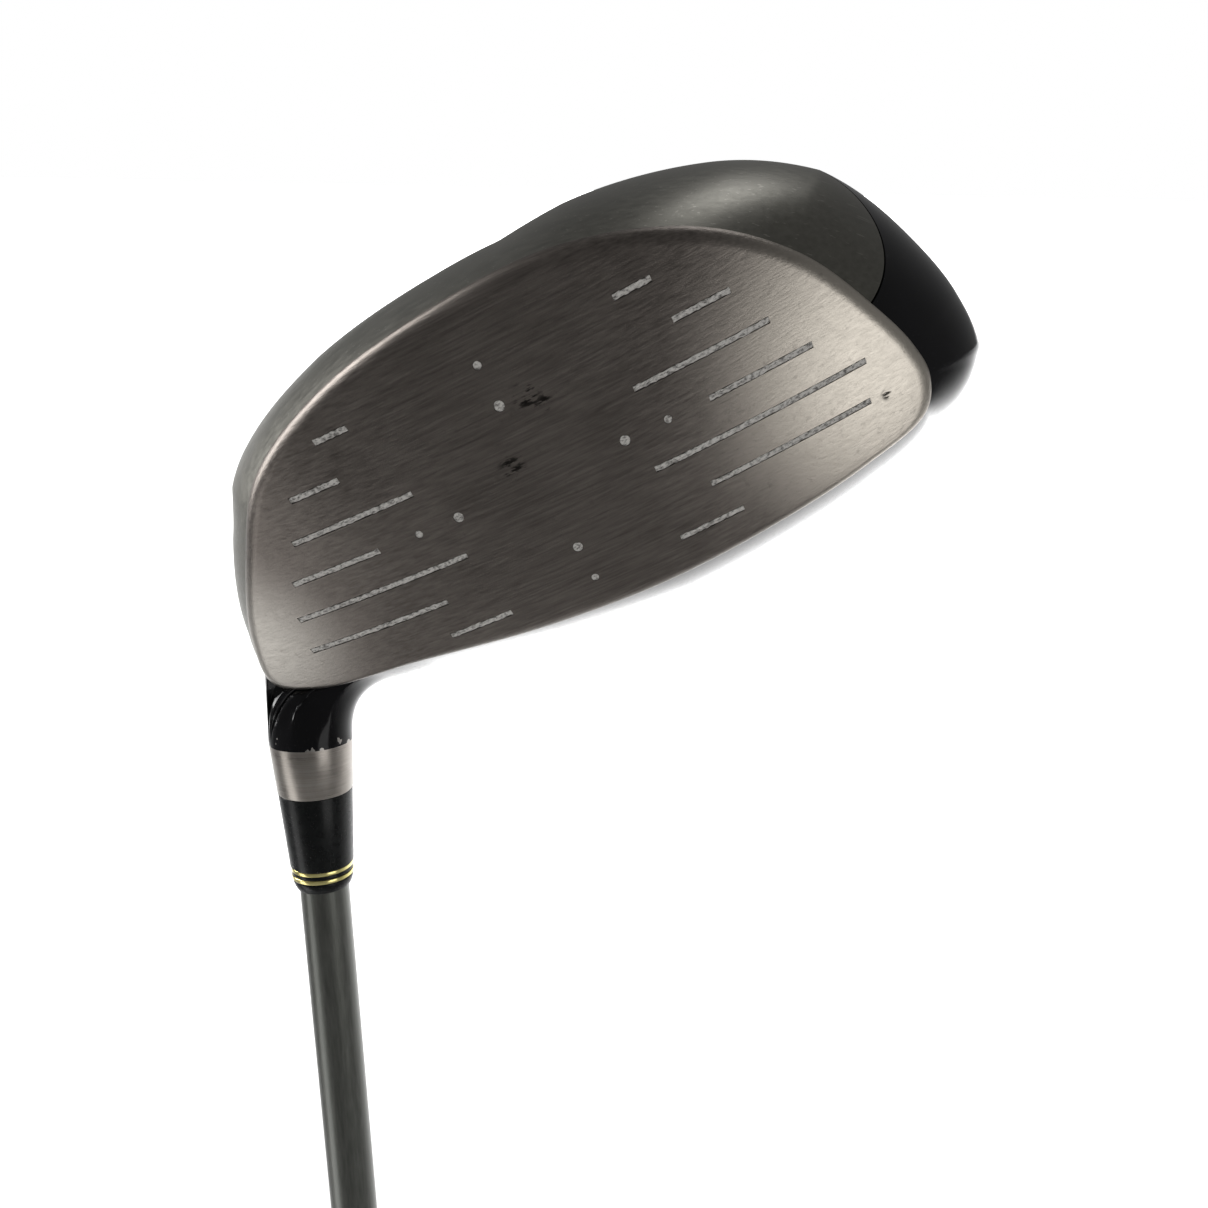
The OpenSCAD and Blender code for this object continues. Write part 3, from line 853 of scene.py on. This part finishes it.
def hidden_pieces():
    """Finishes for the pieces inside the club."""
    finishes = {
        "rear_weight": polymer("weight_cast", (0.16, 0.16, 0.17), (0.30, 0.30, 0.31), 0.5, 500, 0, 0.5, 1.0),
        "damping_pad": polymer("damping_gum", (0.30, 0.22, 0.09), (0.46, 0.36, 0.18), 0.35, 300, 0.2, 0.6),
        "hosel_plug": polymer("plug_cork", (0.36, 0.24, 0.13), (0.55, 0.40, 0.25), 0.7, 900, 0, 0.5),
        "grip_tape": polymer("tape_crepe", (0.66, 0.62, 0.52), (0.82, 0.79, 0.70), 0.8, 1500, 0, 0.6),
    }
    for node, mat in finishes.items():
        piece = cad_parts[node]
        for slot in piece.material_slots:
            slot.link = "OBJECT"
            slot.material = mat


# ---------------------------------------------------------------- stage, light and camera
def stage():
    """A pale floor that sweeps up behind the club."""
    m, tree, bsdf = material("studio_paper")
    paper = noise(tree, coords(tree, (3, 3, 3)), 1, 2, 0.5)
    tree.links.new(ramp(tree, paper, [(0.3, 0.90), (0.7, 0.92)]), bsdf.inputs["Base Color"])
    bsdf.inputs["Roughness"].default_value = 0.9
    curve = [(3.0 + 2 * math.sin(a), 2 - 2 * math.cos(a)) for a in np.linspace(0, math.pi / 2, 24)]
    profile = [(-6.0, 0.0)] + curve + [(5.0, 2.3)]
    points = [(x, y, z) for y, z in profile for x in (-9.0, 9.0)]
    faces = [(2 * k, 2 * k + 1, 2 * k + 3, 2 * k + 2) for k in range(len(profile) - 1)]
    piece = make_object("paper_sweep", points, faces)
    piece.data.materials.append(m)


# How bright the room is in reflections; the camera sees it white behind the sweep
ROOM_LEVEL = 0.2


def area_light(name, where, target, width, power, height):
    """Rectangular light that faces target."""
    data = bpy.data.lights.new(name, "AREA")
    data.energy = power
    data.shape = "RECTANGLE"
    data.size, data.size_y = width, height
    light = bpy.data.objects.new(name, data)
    bpy.context.scene.collection.objects.link(light)
    light.location = where
    light.rotation_euler = (Vector(target) - Vector(where)).to_track_quat("-Z", "Y").to_euler()


def lights():
    """Dim room, a lit backdrop, and soft boxes above and to both sides of the head."""
    head = Vector((0.03, 0.02, HEAD_Z * MM))
    area_light("backdrop", (0, 1.6, 3.2), (0, 3.6, 2.2), 6.0, 480, 2.0)
    area_light("soft_toe", head + Vector((0.68, -0.50, -0.16)), head, 0.42, 1.5, 0.6)
    area_light("soft_heel", head + Vector((-0.56, -0.34, -0.50)), head, 0.3, 1.1, 0.6)
    area_light("soft_left", head + Vector((-0.85, -0.05, 0.35)), head, 0.25, 9.0, 0.8)
    area_light("soft_high", head + Vector((0.15, 0.25, 0.9)), head, 0.25, 0.8, 0.25)
    world = bpy.data.worlds.new("studio")
    bpy.context.scene.world = world
    world.use_nodes = True
    tree = world.node_tree
    sky = tree.nodes["Background"]
    sky.inputs[0].default_value = (1, 1, 1, 1)
    seen = tree.nodes.new("ShaderNodeLightPath")
    level = tree.nodes.new("ShaderNodeMapRange")
    level.inputs["To Min"].default_value = ROOM_LEVEL
    level.inputs["To Max"].default_value = 1.0
    tree.links.new(seen.outputs["Is Camera Ray"], level.inputs["Value"])
    tree.links.new(level.outputs[0], sky.inputs[1])
    bpy.context.scene.view_settings.view_transform = "Standard"


# Camera: its place in millimetres from the shaft's axis at the face centre's level, then its axes and lens
CAMERA_AT = (73.0, -150.3, 29.2)
CAMERA_RIGHT = (0.99848, 0.04716, 0.02860)
CAMERA_FORWARD = (-0.03737, 0.95980, -0.27818)
FOCAL_MM = 27.07
SHIFT = (-0.070, 0.0745)


def camera():
    data = bpy.data.cameras.new("photo_angle")
    piece = bpy.data.objects.new("photo_angle", data)
    bpy.context.scene.collection.objects.link(piece)
    right, forward = Vector(CAMERA_RIGHT).normalized(), Vector(CAMERA_FORWARD).normalized()
    up = right.cross(forward)
    turn = Matrix((right, up, -forward)).transposed()
    where = Vector(CAMERA_AT) + Vector((0, 0, HEAD_Z))
    piece.matrix_world = Matrix.Translation(where * MM) @ turn.to_4x4()
    data.sensor_width, data.lens = 36, FOCAL_MM
    data.shift_x, data.shift_y = SHIFT
    data.clip_start = 0.005
    bpy.context.scene.camera = piece


camera()
face_plate()
score_fill()
head_shells()
hosel()
hosel_inside()
ferrule()
shaft()
grip()
hidden_pieces()
stage()
lights()
